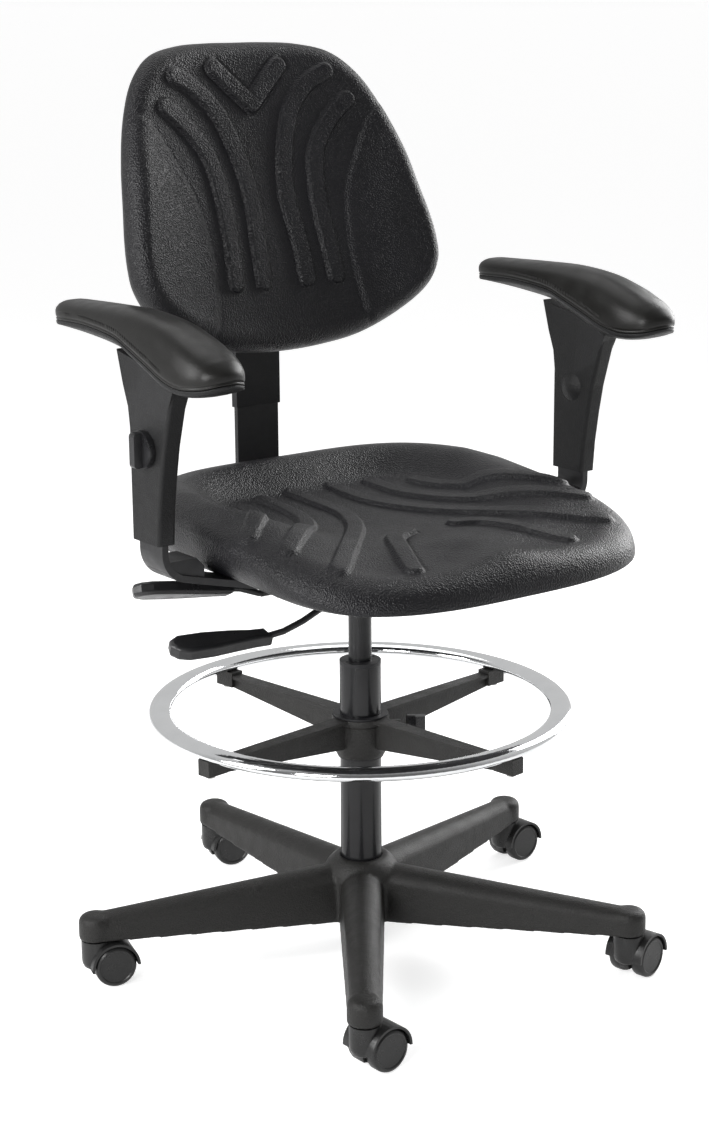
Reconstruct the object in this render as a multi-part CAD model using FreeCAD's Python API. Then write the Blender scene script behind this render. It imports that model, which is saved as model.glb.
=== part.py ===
import FreeCAD, Part
import math
import os
from FreeCAD import Vector, Rotation, Placement

# Drafting chair on a five-leg caster base with a foot ring, a seat, a backrest and T-arms.
# Origin on the floor under the column's axis, +Z up.  The chair faces -Y and the sitter's
# right hand is at -X.  All lengths are in millimetres.

OUT = "parts"

# --- base and casters -------------------------------------------------------------------
CHAIR_YAW = 36.9            # the seat's forward direction, turned from one base leg
LEG_COUNT = 5
STEM_CIRCLE_R = 332.5
HUB_BOTTOM_Z = 43.0
HUB_TOP_Z = 119.0
TIP_BOTTOM_Z = 57.5
TIP_TOP_Z = 88.0
TIP_R = 20.0
SOCKET_BORE_R = 5.55
SOCKET_R = 7.0
STEM_R = 5.5
WHEEL_R = 25.0
WHEEL_WIDTH = 17.0
WHEEL_ROOM_R = 26.2          # inner radius of the fender over a wheel
WHEEL_INNER = 7.0           # from the caster's middle plane to a wheel's inner face
AXLE_R = 4.0
TRAIL = 18.0
CASTER_SWING = (40.0, 50.0, 41.0, 24.0, 21.0)

# --- column and gas lift ----------------------------------------------------------------
COLUMN_R = 25.0
COLUMN_WALL = 1.8
COLUMN_BOTTOM_Z = 50.0
COLUMN_TOP_Z = 363.0
CYLINDER_R = 14.0
CYLINDER_BORE_R = 12.0
CYLINDER_BOTTOM_Z = 85.0
CYLINDER_TOP_Z = 478.0
ROD_R = 5.0
RUN_FIT = 0.05              # radial clearance of every running fit

# --- foot ring --------------------------------------------------------------------------
RING_Z = 309.0
RING_OUTER_R = 254.0
RING_SECTION_W = 27.0
RING_SECTION_H = 15.5
SPIDER_BOTTOM_Z = 249.0
SPIDER_TOP_Z = 299.0
SPIDER_HUB_R = 30.5
FOOT_KNOB_Z = 281.0
FOOT_ARM_ANGLES = [270.0 - CHAIR_YAW + 45.0 + 90.0 * k for k in range(4)]
FOOT_KNOB_ANGLE = 270.0 - CHAIR_YAW + 93.0
RING_MID_R = RING_OUTER_R - RING_SECTION_W / 2

# --- mechanism --------------------------------------------------------------------------
HOUSING_X = 60.0
HOUSING_FRONT_Y = -80.0
HOUSING_REAR_Y = 84.0
HOUSING_BOTTOM_Z = 446.0
HOUSING_TOP_Z = 494.0
PLATE_TOP_Z = 499.0
BACK_PIVOT = Vector(0, 64, 470)
LIFT_PIVOT = Vector(-50, -25, 454)
LIFT_PIN_R = 3.0
TILT_AXIS = Vector(-100, 60, 454)
SEAT_BOLTS = [(-82, -92), (82, -92), (-82, 84), (82, 84)]
ARM_BOLTS = [(-146, -36), (-120, -36), (120, -36), (146, -36)]

# --- seat -------------------------------------------------------------------------------
SEAT_HALF_WIDTH = 245.0
SEAT_FRONT_Y = -301.0
SEAT_REAR_Y = 194.0
SEAT_WIDEST_Y = -110.0
SEAT_SQUARENESS = 3.8
PAN_TOP_Z = 507.0
SEAT_DISH_R = 1700.0

# --- back -------------------------------------------------------------------------------
BACK_TILT = 16.5            # lean of the backrest from the vertical
BAR_WIDTH = 61.0
BAR_THICK = 7.0
BAR_FRONT_Y = 208.0
BAR_BEND_Z = 735.0
BAR_LOW_Z = 456.0
BACK_FRONT_N = -75.7        # the cushion's front face, measured from the bar's front face
BACK_CUSHION_T = 47.0
BACK_RIM_T = 22.0           # full-width part of the cushion; behind it the sides draw in
BACK_SHELL_T = 6.0
BACK_CURVE_R = 598.0
BACK_SCREWS = [(-48, 58), (48, 58), (-48, 122), (48, 122)]

# --- arms -------------------------------------------------------------------------------
ARM_X = 305.0
ARM_BAR_THICK = 8.0
ARM_BAR_Y = (-59.0, -13.0)
ARM_BAR_Z = (491.0, 499.0)
ARM_BAR_TOP_Z = 690.0
ARM_BAR_BEND_X = 158.0      # where the bar starts to climb under the cushion
ARM_BAR_SLOPE = 0.245
ARM_BAR_BEND_R = 36.0
POST_HALF = 11.0
ARM_KNOB = Vector(0, -42, 671)


def rot_z(shape, angle):
    """A copy of shape turned about the column's axis."""
    copy = shape.copy()
    copy.rotate(Vector(0, 0, 0), Vector(0, 0, 1), angle)
    return copy


def moved(shape, x=0.0, y=0.0, z=0.0):
    copy = shape.copy()
    copy.translate(Vector(x, y, z))
    return copy


def mirrored_x(shape):
    return shape.mirror(Vector(0, 0, 0), Vector(1, 0, 0))


def box(x0, x1, y0, y1, z0, z1):
    return Part.makeBox(x1 - x0, y1 - y0, z1 - z0, Vector(x0, y0, z0))


def cyl(radius, start, end):
    """Solid cylinder between two points."""
    axis = end - start
    return Part.makeCylinder(radius, axis.Length, start, axis)


def tube(outer, inner, z0, z1):
    ring = Part.makeCylinder(outer, z1 - z0, Vector(0, 0, z0))
    return ring.cut(Part.makeCylinder(inner, z1 - z0 + 2, Vector(0, 0, z0 - 1)))


def prism(points, axis, start, length):
    """Straight solid over a closed outline: axis X takes (y, z) pairs, Y takes (x, z)."""
    corners = []
    for a, b in points:
        if axis == "X":
            corners.append(Vector(start, a, b))
        elif axis == "Y":
            corners.append(Vector(a, start, b))
        else:
            corners.append(Vector(a, b, start))
    face = Part.Face(Part.makePolygon(corners + corners[:1]))
    step = {"X": Vector(length, 0, 0), "Y": Vector(0, length, 0), "Z": Vector(0, 0, length)}
    return face.extrude(step[axis])


def turned(profile):
    """Solid of revolution about Z from (radius, z) pairs."""
    corners = [Vector(r, 0, z) for r, z in profile]
    face = Part.Face(Part.makePolygon(corners + corners[:1]))
    return face.revolve(Vector(0, 0, 0), Vector(0, 0, 1), 360)


def spline_wire(points):
    curve = Part.BSplineCurve()
    curve.interpolate([Vector(*p) for p in points], PeriodicFlag=True)
    return Part.Wire([curve.toShape()])


def swept_rod(points, radius):
    """Round rod through a line of points, with ball joints at the bends."""
    parts = []
    for a, b in zip(points[:-1], points[1:]):
        parts.append(cyl(radius, a, b))
    for p in points[1:-1]:
        parts.append(Part.makeSphere(radius, p))
    return parts[0].fuse(parts[1:]).removeSplitter()


def along_y(edge):
    return abs(edge.tangentAt(edge.FirstParameter).y) > 0.9


def along_z(edge):
    return abs(edge.tangentAt(edge.FirstParameter).z) > 0.9


def fillet_where(shape, radius, keep):
    edges = [e for e in shape.Edges if keep(e)]
    return shape.makeFillet(radius, edges)


def leg_angle(index):
    """Direction of a base leg, from +X."""
    return 270.0 - CHAIR_YAW + 0.5 + 360.0 * index / LEG_COUNT


# ----------------------------------------------------------------------------------------
# Base star: a domed hub with five arched legs, open and ribbed underneath
# ----------------------------------------------------------------------------------------
def arch_wire(x, half, bottom, top):
    shoulder = top - 0.55 * half
    foot_a = Vector(x, -half, bottom)
    foot_b = Vector(x, half, bottom)
    side_a = Vector(x, -0.86 * half, shoulder)
    side_b = Vector(x, 0.86 * half, shoulder)
    crown = Part.Arc(side_b, Vector(x, 0, top), side_a).toShape()
    return Part.Wire([
        Part.makeLine(foot_a, foot_b),
        Part.makeLine(foot_b, side_b),
        crown,
        Part.makeLine(side_a, foot_a),
    ])


def leg_shell():
    outer = Part.makeLoft([
        arch_wire(30, 28, HUB_BOTTOM_Z, 111),
        arch_wire(STEM_CIRCLE_R, 19.4, TIP_BOTTOM_Z, 87.5),
    ], True, True)
    inner = Part.makeLoft([
        arch_wire(30, 24, HUB_BOTTOM_Z - 1, 105),
        arch_wire(STEM_CIRCLE_R, 15.6, TIP_BOTTOM_Z - 1, 82),
    ], True, True)
    return outer.cut(inner)


def leg_ribs():
    room = Part.makeLoft([
        arch_wire(30, 24, HUB_BOTTOM_Z + 3, 105),
        arch_wire(STEM_CIRCLE_R, 15.6, TIP_BOTTOM_Z + 3, 82),
    ], True, True)
    ribs = box(40, 320, -1.5, 1.5, 40, 110)
    for x in (95, 150, 205, 260):
        ribs = ribs.fuse(box(x - 1.5, x + 1.5, -30, 30, 40, 110))
    return ribs.common(room)


def base_star():
    hub = turned([
        (0, HUB_BOTTOM_Z), (44, HUB_BOTTOM_Z), (47, 60), (47, 96), (45, 104),
        (41, 111), (36.5, 116), (32, HUB_TOP_Z), (0, HUB_TOP_Z),
    ])
    tip = turned([
        (0, TIP_BOTTOM_Z), (TIP_R, TIP_BOTTOM_Z), (TIP_R, 78), (18.6, 82.5),
        (15.5, 85.6), (10, 87.4), (0, TIP_TOP_Z),
    ])
    star = hub
    for i in range(LEG_COUNT):
        leg = leg_shell().fuse(leg_ribs()).fuse(moved(tip, STEM_CIRCLE_R))
        star = star.fuse(rot_z(leg, leg_angle(i)))
    bore = Part.makeCylinder(COLUMN_R, 90, Vector(0, 0, COLUMN_BOTTOM_Z))
    mouth = Part.makeCylinder(18, 30, Vector(0, 0, 30))
    star = star.cut(bore).cut(mouth)
    for i in range(LEG_COUNT):
        pocket = Part.makeCylinder(SOCKET_R, 40, Vector(STEM_CIRCLE_R, 0, 43))
        pocket = pocket.common(box(300, 360, -20, 20, 40, 82.5))
        star = star.cut(rot_z(pocket, leg_angle(i)))
    return star.removeSplitter()


def caster_sockets():
    sleeve = tube(SOCKET_R, SOCKET_BORE_R, TIP_BOTTOM_Z, 82.5)
    flange = tube(9.5, SOCKET_BORE_R, TIP_BOTTOM_Z - 1.0, TIP_BOTTOM_Z)
    one = sleeve.fuse(flange).removeSplitter()
    solids = []
    for i in range(LEG_COUNT):
        solids.append(rot_z(moved(one, STEM_CIRCLE_R), leg_angle(i)))
    return Part.makeCompound(solids)


# ----------------------------------------------------------------------------------------
# Casters: steel stem, hooded frame, axle and two wheels; local +X is the trail direction
# ----------------------------------------------------------------------------------------
def on_leg(shape, index):
    """Put a caster part, built round its own stem axis, under the tip of a leg."""
    angle = leg_angle(index)
    x = STEM_CIRCLE_R * math.cos(math.radians(angle))
    y = STEM_CIRCLE_R * math.sin(math.radians(angle))
    turn = CASTER_SWING[index] - CHAIR_YAW
    return moved(rot_z(shape, turn), x, y)


def caster_stem():
    stem = Part.makeCylinder(STEM_R, 36, Vector(0, 0, 44))
    return stem.makeChamfer(1.0, [e for e in stem.Edges if e.BoundBox.ZMin > 79])


def caster_hood():
    hub = Vector(TRAIL, 0, WHEEL_R)
    across = Vector(0, 1, 0)
    fender = Part.makeCylinder(29.2, 50, hub - across * 25, across)
    fender = fender.common(box(-40, 80, -40, 40, WHEEL_R, 80))
    web = Part.makeCylinder(27.5, 13, hub - across * 6.5, across)
    web = web.cut(box(-40, 80, -40, 40, -10, 13))
    boss = turned([
        (0, 20), (12, 20), (15.5, 22.5), (17.3, 27), (17.8, 32), (17.8, 55.6), (0, 55.6),
    ])
    hood = fender.fuse([web, boss])
    for side in (-1, 1):
        inner_face = hub + across * (side * 6.5)
        hood = hood.cut(cyl(WHEEL_ROOM_R, inner_face, inner_face + across * (side * 30)))
    hood = hood.cut(Part.makeCylinder(STEM_R + 0.02, 20, Vector(0, 0, 44)))
    hood = hood.cut(Part.makeCylinder(AXLE_R + RUN_FIT, 20, hub - across * 10, across))
    return hood.removeSplitter()


def caster_wheels():
    r = WHEEL_R
    w = WHEEL_WIDTH
    bore = AXLE_R + 0.01
    profile = [
        (0, w - 4), (bore, w - 4), (bore, 0), (r - 3, 0), (r - 0.8, 1.2), (r, 3.5),
        (r, w - 4), (r - 1, w - 1.5), (r - 3.5, w), (r - 5, w), (r - 6, w - 1), (0, w - 1),
    ]
    wheel = turned(profile)
    hub = Vector(TRAIL, 0, WHEEL_R)
    solids = []
    for side in (-1, 1):
        outward = Vector(0, side, 0)
        solid = wheel.copy()
        solid.Placement = Placement(hub + outward * WHEEL_INNER, Rotation(Vector(0, 0, 1), outward))
        solids.append(solid)
    return Part.makeCompound(solids)


def caster_axle():
    half = WHEEL_INNER + WHEEL_WIDTH - 4.2
    return cyl(AXLE_R, Vector(TRAIL, -half, WHEEL_R), Vector(TRAIL, half, WHEEL_R))


# ----------------------------------------------------------------------------------------
# Column: outer tube, guide bushing, thrust bearing, piston rod and sliding cylinder
# ----------------------------------------------------------------------------------------
def column_tube():
    shell = tube(COLUMN_R, COLUMN_R - COLUMN_WALL, COLUMN_BOTTOM_Z, COLUMN_TOP_Z)
    floor = tube(COLUMN_R - COLUMN_WALL + 0.5, 5.6, COLUMN_BOTTOM_Z, COLUMN_BOTTOM_Z + 5)
    return shell.fuse(floor).removeSplitter()


def column_bushing():
    inner = CYLINDER_R + RUN_FIT
    guide = tube(COLUMN_R - COLUMN_WALL, inner, 290, COLUMN_TOP_Z)
    cap = tube(COLUMN_R, inner, COLUMN_TOP_Z, COLUMN_TOP_Z + 4.5)
    bushing = guide.fuse(cap)
    for x in (-19.5, 19.5):
        bushing = bushing.cut(Part.makeCylinder(1.8, 6, Vector(x, 0, COLUMN_TOP_Z + 2)))
    return bushing.removeSplitter()


def thrust_bearing():
    return tube(14, 5.6, COLUMN_BOTTOM_Z + 5, COLUMN_BOTTOM_Z + 9)


def piston_rod():
    rod = Part.makeCylinder(ROD_R, 259, Vector(0, 0, COLUMN_BOTTOM_Z - 6))
    collar = Part.makeCylinder(11, 5, Vector(0, 0, COLUMN_BOTTOM_Z + 9.3))
    clip = Part.makeCylinder(8, 2.5, Vector(0, 0, COLUMN_BOTTOM_Z - 3.5))
    head = Part.makeCylinder(CYLINDER_BORE_R - RUN_FIT, 11, Vector(0, 0, 298))
    return rod.fuse([collar, clip, head]).removeSplitter()


def gas_cylinder():
    body = turned([
        (0, CYLINDER_BOTTOM_Z), (CYLINDER_R, CYLINDER_BOTTOM_Z), (CYLINDER_R, 436),
        (12.8, CYLINDER_TOP_Z), (0, CYLINDER_TOP_Z),
    ])
    chamber = Part.makeCylinder(CYLINDER_BORE_R, 333, Vector(0, 0, CYLINDER_BOTTOM_Z + 12))
    gland = Part.makeCylinder(ROD_R + RUN_FIT, 20, Vector(0, 0, CYLINDER_BOTTOM_Z - 2))
    pocket = Part.makeCylinder(3.55, 30, Vector(0, 0, 461))
    return body.cut(chamber).cut(gland).cut(pocket)


def release_pin():
    pin = Part.makeCylinder(3.5, 18, Vector(0, 0, 466))
    return pin.makeChamfer(0.6, [e for e in pin.Edges if e.BoundBox.ZMin > 483])


# ----------------------------------------------------------------------------------------
# Foot ring: sliding liner, four-arm spider, oval chrome ring, screws and clamp knob
# ----------------------------------------------------------------------------------------
def foot_ring_liner():
    sleeve = tube(27.6, COLUMN_R + 0.09, SPIDER_BOTTOM_Z - 2, SPIDER_TOP_Z)
    flange = tube(33, COLUMN_R + 0.09, SPIDER_TOP_Z + 0.3, SPIDER_TOP_Z + 2.3)
    neck = tube(27.6, COLUMN_R + 0.09, SPIDER_TOP_Z - 1, SPIDER_TOP_Z + 1)
    return sleeve.fuse([flange, neck]).removeSplitter()


def ring_tube(grow=0.0):
    """The oval ring; grow makes a slightly larger one, to cut seats for it."""
    mid = Vector(RING_MID_R, 0, RING_Z)
    ellipse = Part.Ellipse(mid, RING_SECTION_W / 2 + grow, RING_SECTION_H / 2 + grow)
    outline = ellipse.toShape()
    outline.rotate(mid, Vector(1, 0, 0), 90)
    face = Part.Face(Part.Wire([outline]))
    return face.revolve(Vector(0, 0, 0), Vector(0, 0, 1), 360)


def foot_ring_spider():
    hub = turned([
        (0, SPIDER_BOTTOM_Z), (SPIDER_HUB_R - 2, SPIDER_BOTTOM_Z), (SPIDER_HUB_R, SPIDER_BOTTOM_Z + 4),
        (SPIDER_HUB_R, 288), (34.5, 292), (34.5, SPIDER_TOP_Z), (0, SPIDER_TOP_Z),
    ])
    web_outline = [(25, 261), (235, 284), (251, 286), (251, 303), (225, 303), (222, 298), (25, 298)]
    web = prism(web_outline, "Y", -4, 8)
    flange = prism([(25, -11), (228, -8), (228, 8), (25, 11)], "Z", 295, 4)
    arm = web.fuse([flange, box(222, 251, -9, 9, 284, 303)])
    spider = hub
    for angle in FOOT_ARM_ANGLES:
        spider = spider.fuse(rot_z(arm, angle))
    boss = cyl(9.5, Vector(25, 0, FOOT_KNOB_Z), Vector(48, 0, FOOT_KNOB_Z))
    spider = spider.fuse(rot_z(boss, FOOT_KNOB_ANGLE))
    spider = spider.cut(Part.makeCylinder(27.9, 80, Vector(0, 0, 240)))
    stud_bore = cyl(4.05, Vector(20, 0, FOOT_KNOB_Z), Vector(60, 0, FOOT_KNOB_Z))
    spider = spider.cut(rot_z(stud_bore, FOOT_KNOB_ANGLE))
    screw_hole = Part.makeCylinder(3.05, 32, Vector(RING_MID_R, 0, 270))
    head_seat = Part.makeCylinder(5.4, 14, Vector(RING_MID_R, 0, 270))
    for angle in FOOT_ARM_ANGLES:
        spider = spider.cut([rot_z(screw_hole, angle), rot_z(head_seat, angle)])
    return spider.cut(ring_tube(0.05)).removeSplitter()


def foot_ring_screws():
    head = Part.makeCylinder(5.2, 3.2, Vector(RING_MID_R, 0, 280.7))
    shank = Part.makeCylinder(3.0, 17.0, Vector(RING_MID_R, 0, 283.5))
    one = head.fuse(shank).removeSplitter()
    one = one.cut(Part.makeCylinder(1.8, 1.6, Vector(RING_MID_R, 0, 280.5)))
    solids = []
    for angle in FOOT_ARM_ANGLES:
        solids.append(rot_z(one, angle))
    return Part.makeCompound(solids)


def foot_ring_knob():
    z = FOOT_KNOB_Z
    stud = cyl(4.0, Vector(28.2, 0, z), Vector(64, 0, z))
    disc = cyl(15, Vector(56, 0, z), Vector(66, 0, z))
    grip = box(64, 78, -5, 5, z - 14, z + 14)
    knob = stud.fuse([disc, grip]).removeSplitter()
    return rot_z(knob, FOOT_KNOB_ANGLE)


# ----------------------------------------------------------------------------------------
# Mechanism under the seat, with the lift lever and the tilt lever
# ----------------------------------------------------------------------------------------
def mechanism_housing():
    x = HOUSING_X
    shell = box(-x, x, HOUSING_FRONT_Y, HOUSING_REAR_Y, HOUSING_BOTTOM_Z, HOUSING_TOP_Z)
    shell = fillet_where(shell, 10, along_z)
    room = box(4 - x, x - 4, HOUSING_FRONT_Y + 4, HOUSING_REAR_Y - 4, HOUSING_BOTTOM_Z + 4, 500)
    shell = shell.cut(room)
    boss = Part.makeCylinder(22, 42, Vector(0, 0, 437))
    shell = shell.fuse(boss)
    for side in (-1, 1):
        post = box(min(side * 44, side * x), max(side * 44, side * x), 52, 76, 448, 490)
        shell = shell.fuse(post)
    taper = turned([(0, 430), (14, 430), (14, 436), (12.8, CYLINDER_TOP_Z), (12.8, 480), (0, 480)])
    shell = shell.cut(taper)
    shell = shell.cut(cyl(5.02, BACK_PIVOT - Vector(80, 0, 0), BACK_PIVOT + Vector(80, 0, 0)))
    shell = shell.cut(box(-42, 42, 56, 100, 440, 500))
    y = LIFT_PIVOT.y
    for side in (-1, 1):
        near, far = sorted((y + side * 7, y + side * 11))
        shell = shell.fuse(box(-58, -43, near, far, 448, 459))
    shell = shell.cut(box(-70, -54, y - 6.5, y + 6.5, 440, 463))
    shell = shell.cut(box(-57, -42, y - 6.5, y + 6.5, 440, 452))
    half_pin = Vector(0, 12, 0)
    shell = shell.cut(cyl(LIFT_PIN_R + RUN_FIT, LIFT_PIVOT - half_pin, LIFT_PIVOT + half_pin))
    y = TILT_AXIS.y
    z = TILT_AXIS.z
    tilt_boss = cyl(10, Vector(-57, y, z), Vector(-78, y, z))
    tilt_bore = cyl(5.05, Vector(-66, y, z), Vector(-110, y, z))
    return shell.fuse(tilt_boss).cut(tilt_bore).removeSplitter()


def seat_plate():
    plate = box(-100, 100, -112, 104, HOUSING_TOP_Z, PLATE_TOP_Z)
    plate = fillet_where(plate, 14, along_z)
    for x, y in SEAT_BOLTS:
        plate = plate.cut(Part.makeCylinder(4.2, 12, Vector(x, y, 490)))
    return plate


def seat_bolts():
    solids = []
    for x, y in SEAT_BOLTS + ARM_BOLTS:
        under = HOUSING_TOP_Z if abs(x) < 100 else ARM_BAR_Z[0]
        head = Part.makeCylinder(7, 5, Vector(x, y, under - 5))
        socket = Part.makeCylinder(3.2, 3, Vector(x, y, under - 5.1))
        shank = Part.makeCylinder(4.0, PAN_TOP_Z - 1 - under, Vector(x, y, under))
        solids.append(head.cut(socket).fuse(shank).removeSplitter())
    return Part.makeCompound(solids)


def lift_lever_rod():
    p = LIFT_PIVOT
    rod = swept_rod([
        p + Vector(2, 0, 0), Vector(-76, -27, 450), Vector(-104, -29, 440),
        Vector(-132, -30, 433), Vector(-172, -30, 430),
    ], 3.8)
    pin = cyl(LIFT_PIN_R, p - Vector(0, 11, 0), p + Vector(0, 11, 0))
    stalk = box(-50, -46, -30, -20, 452, 470)
    riser = box(-50, -46, -30, 6, 463, 490)
    finger = box(-50, 7, -6, 6, 486, 490)
    nose = Part.makeCylinder(4, 2.2, Vector(0, 0, 484.3))
    return rod.fuse([pin, stalk, riser, finger, nose]).removeSplitter()


def paddle(root, tip, lean):
    """Bulbous handle, widest near its outer end, from a square collar to a rounded tip."""
    length = (tip - root).Length
    lower = [(0, -10), (20, -11), (45, -16), (80, -20), (length - 18, -19.5), (length - 5, -12)]
    upper = [(length - 5, 11), (length - 18, 17), (80, 17), (45, 13), (20, 10.5), (0, 10)]
    outline = lower + [(length, 0)] + upper
    blade = prism(outline, "Z", -8, 16)
    blade = fillet_where(blade, 5.0, lambda e: abs(e.BoundBox.ZMax - e.BoundBox.ZMin) < 0.01)
    blade = blade.cut(cyl(3.8, Vector(-1, 0, 0), Vector(18, 0, 0)))
    blade.rotate(Vector(0, 0, 0), Vector(1, 0, 0), lean)
    blade.Placement = Placement(root, Rotation(Vector(1, 0, 0), tip - root)).multiply(blade.Placement)
    return blade


def lift_lever_paddle():
    blade = paddle(Vector(-154, -30, 430.5), Vector(-284, -29, 438), 150)
    return blade.cut(lift_lever_rod())


def tilt_lever_rod():
    y = TILT_AXIS.y
    z = TILT_AXIS.z
    rod = swept_rod([
        Vector(-67, y, z), Vector(-104, y, z), Vector(-128, y + 3, 463), Vector(-160, y + 6, 468),
    ], 3.8)
    journal = cyl(5.0, Vector(-67, y, z), Vector(-101, y, z))
    return rod.fuse(journal).removeSplitter()


def tilt_lever_paddle():
    y = TILT_AXIS.y
    blade = paddle(Vector(-142, y + 4.3, 465.2), Vector(-268, y + 13, 482), 150)
    return blade.cut(tilt_lever_rod())


# ----------------------------------------------------------------------------------------
# Seat: moulded pan and thick cushion with a shallow dish
# ----------------------------------------------------------------------------------------
def seat_outline(inset, steps=40):
    """Plan of the seat as (x, y) points, pulled in by inset all round."""
    points = []
    half = SEAT_HALF_WIDTH - inset
    power = 2.0 / SEAT_SQUARENESS
    for i in range(steps):
        angle = 2 * math.pi * i / steps
        c = math.cos(angle)
        s = math.sin(angle)
        reach = SEAT_REAR_Y - SEAT_WIDEST_Y if s > 0 else SEAT_WIDEST_Y - SEAT_FRONT_Y
        x = half * math.copysign(abs(c) ** power, c)
        y = SEAT_WIDEST_Y + (reach - inset) * math.copysign(abs(s) ** power, s)
        points.append((x, y))
    return points


def seat_wire(inset, z_rear, z_front):
    points = []
    slope = (z_rear - z_front) / (SEAT_REAR_Y - SEAT_FRONT_Y)
    for x, y in seat_outline(inset):
        points.append((x, y, z_front + slope * (y - SEAT_FRONT_Y)))
    return spline_wire(points)


def seat_pan():
    base = Part.Face(seat_wire(66, PLATE_TOP_Z, PLATE_TOP_Z)).extrude(Vector(0, 0, 8))
    for x, y in SEAT_BOLTS + ARM_BOLTS:
        base = base.cut(Part.makeCylinder(4.0, 20, Vector(x, y, 490)))
    for side in (-1, 1):
        slope = [(side * 153, 498), (side * 153, 499.3), (side * 190, 508.5), (side * 190, 498)]
        relief = prism(slope, "Y", -66, 60)
        base = base.cut(relief)
    return base


def seat_cushion():
    body = Part.makeLoft([
        seat_wire(62, PAN_TOP_Z, PAN_TOP_Z),
        seat_wire(12, 527, 512),
        seat_wire(0, 548, 520),
        seat_wire(3, 566, 532),
        seat_wire(14, 583, 544),
        seat_wire(30, 592, 550),
    ], True, False)
    dish = Part.makeSphere(SEAT_DISH_R, Vector(0, -70, SEAT_DISH_R + 556))
    return body.cut(dish)


# ----------------------------------------------------------------------------------------
# Arms: steel L-bars bolted under the seat, sliding posts, pads and lock knobs
# ----------------------------------------------------------------------------------------
def arm_bar():
    """Right-hand side of the chair (the sitter's left); the other one is its mirror."""
    t = ARM_BAR_THICK
    x_out = ARM_X + t / 2
    x_in = x_out - t
    low, high = ARM_BAR_Z
    y0, y1 = ARM_BAR_Y
    corner_low = low + ARM_BAR_SLOPE * (x_out - ARM_BAR_BEND_X)
    corner_high = high + ARM_BAR_SLOPE * (x_in - ARM_BAR_BEND_X)
    outline = [
        (104, low), (ARM_BAR_BEND_X, low), (x_out, corner_low), (x_out, ARM_BAR_TOP_Z),
        (x_in, ARM_BAR_TOP_Z), (x_in, corner_high), (ARM_BAR_BEND_X, high), (104, high),
    ]
    bar = prism(outline, "Y", y0, y1 - y0)
    outer_corner = (x_out, corner_low)
    inner_corner = (x_in, corner_high)
    bar = fillet_where(bar, ARM_BAR_BEND_R, lambda e: runs_at(e, outer_corner))
    bar = fillet_where(bar, ARM_BAR_BEND_R - t, lambda e: runs_at(e, inner_corner))
    gusset = prism(
        [(254, 517), (x_in + 1, 517), (x_in + 1, 546), (264, 546), (254, 536)], "Y", y0 + 3, y1 - y0 - 6,
    )
    above_bar = prism(
        [(240, high + ARM_BAR_SLOPE * (240 - ARM_BAR_BEND_X)), (x_out, corner_high + 2), (x_out, 560),
         (240, 560)], "Y", y0, y1 - y0,
    )
    bar = bar.fuse(gusset.common(above_bar))
    for x, y in ARM_BOLTS:
        if x > 0:
            bar = bar.cut(Part.makeCylinder(4.2, 12, Vector(x, y, low - 2)))
    stop_hole = Vector(ARM_X, ARM_KNOB.y, ARM_KNOB.z - 55)
    bar = bar.cut(cyl(4.3, stop_hole - Vector(20, 0, 0), stop_hole + Vector(20, 0, 0)))
    return bar.removeSplitter()


def runs_at(edge, place):
    """True for an edge along Y whose (x, z) is place."""
    middle = edge.BoundBox.Center
    return along_y(edge) and abs(middle.x - place[0]) < 0.1 and abs(middle.z - place[1]) < 0.1


POST_PROFILE = [
    (-63, 567), (-9, 567), (-9, 690), (-6, 712), (3, 735), (14, 772), (-60, 758),
    (-100, 741), (-96, 733), (-87, 703), (-79, 676), (-72, 641), (-66, 603),
]


def arm_post():
    post = prism(POST_PROFILE, "X", ARM_X - POST_HALF, 2 * POST_HALF)
    post = post.makeFillet(4.0, [e for e in post.Edges if is_post_rim(e)])
    gap = 0.3
    x_out = ARM_X + ARM_BAR_THICK / 2 + gap
    x_in = ARM_X - ARM_BAR_THICK / 2 - gap
    channel = box(x_in, x_out, ARM_BAR_Y[0] - gap, ARM_BAR_Y[1] + gap, 560, 708)
    post = post.cut(channel)
    knob_centre = Vector(ARM_X, ARM_KNOB.y, ARM_KNOB.z)
    bore = cyl(4.3, knob_centre, knob_centre + Vector(30, 0, 0))
    post = post.cut(bore)
    dome = Part.makeSphere(30, Vector(ARM_X - POST_HALF + 24.5, ARM_KNOB.y, ARM_KNOB.z))
    dome = dome.common(box(ARM_X - 30, ARM_X - 6, -80, 0, 600, 740))
    return post.fuse(dome).cut(channel).cut(arm_pad_base()).removeSplitter()


def is_post_rim(edge):
    """Edges round the two broad faces, apart from those under the arm pad."""
    box_x = edge.BoundBox.XMax - edge.BoundBox.XMin
    middle = edge.BoundBox.Center
    on_face = box_x < 0.01
    return on_face and 570 < middle.z < 735


PAD_RIDGE = [(133, 797), (118, 806), (90, 812), (30, 817), (-35, 818), (-90, 813),
             (-130, 803), (-160, 792), (-182, 777), (-192, 764)]
PAD_SEAM = [(-192, 757), (-178, 747), (-150, 744), (-120, 748), (-90, 757),
            (-50, 773), (-10, 786), (60, 792), (133, 790)]
PAD_UNDER = [(-184, 748), (-170, 739), (-150, 734.5), (-120, 736), (-92, 744),
             (-52, 760), (-12, 773), (60, 780), (124, 782)]


def pad_plan(inset):
    """Plan of an arm pad as (x, y) points: broad at the front, narrower behind."""
    right = [(0, 133), (16, 129), (24, 112), (27, 60), (30, 0), (34, -60),
             (37, -120), (36, -150), (29, -175), (16, -188), (0, -193)]
    left = [(-x, y) for x, y in reversed(right[1:-1])]
    points = []
    x_scale = 1 - inset / 36.0
    y_scale = 1 - inset / 163.0
    for x, y in right + left:
        points.append((ARM_X + x * x_scale, -30 + (y + 30) * y_scale, 700))
    return points


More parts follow.
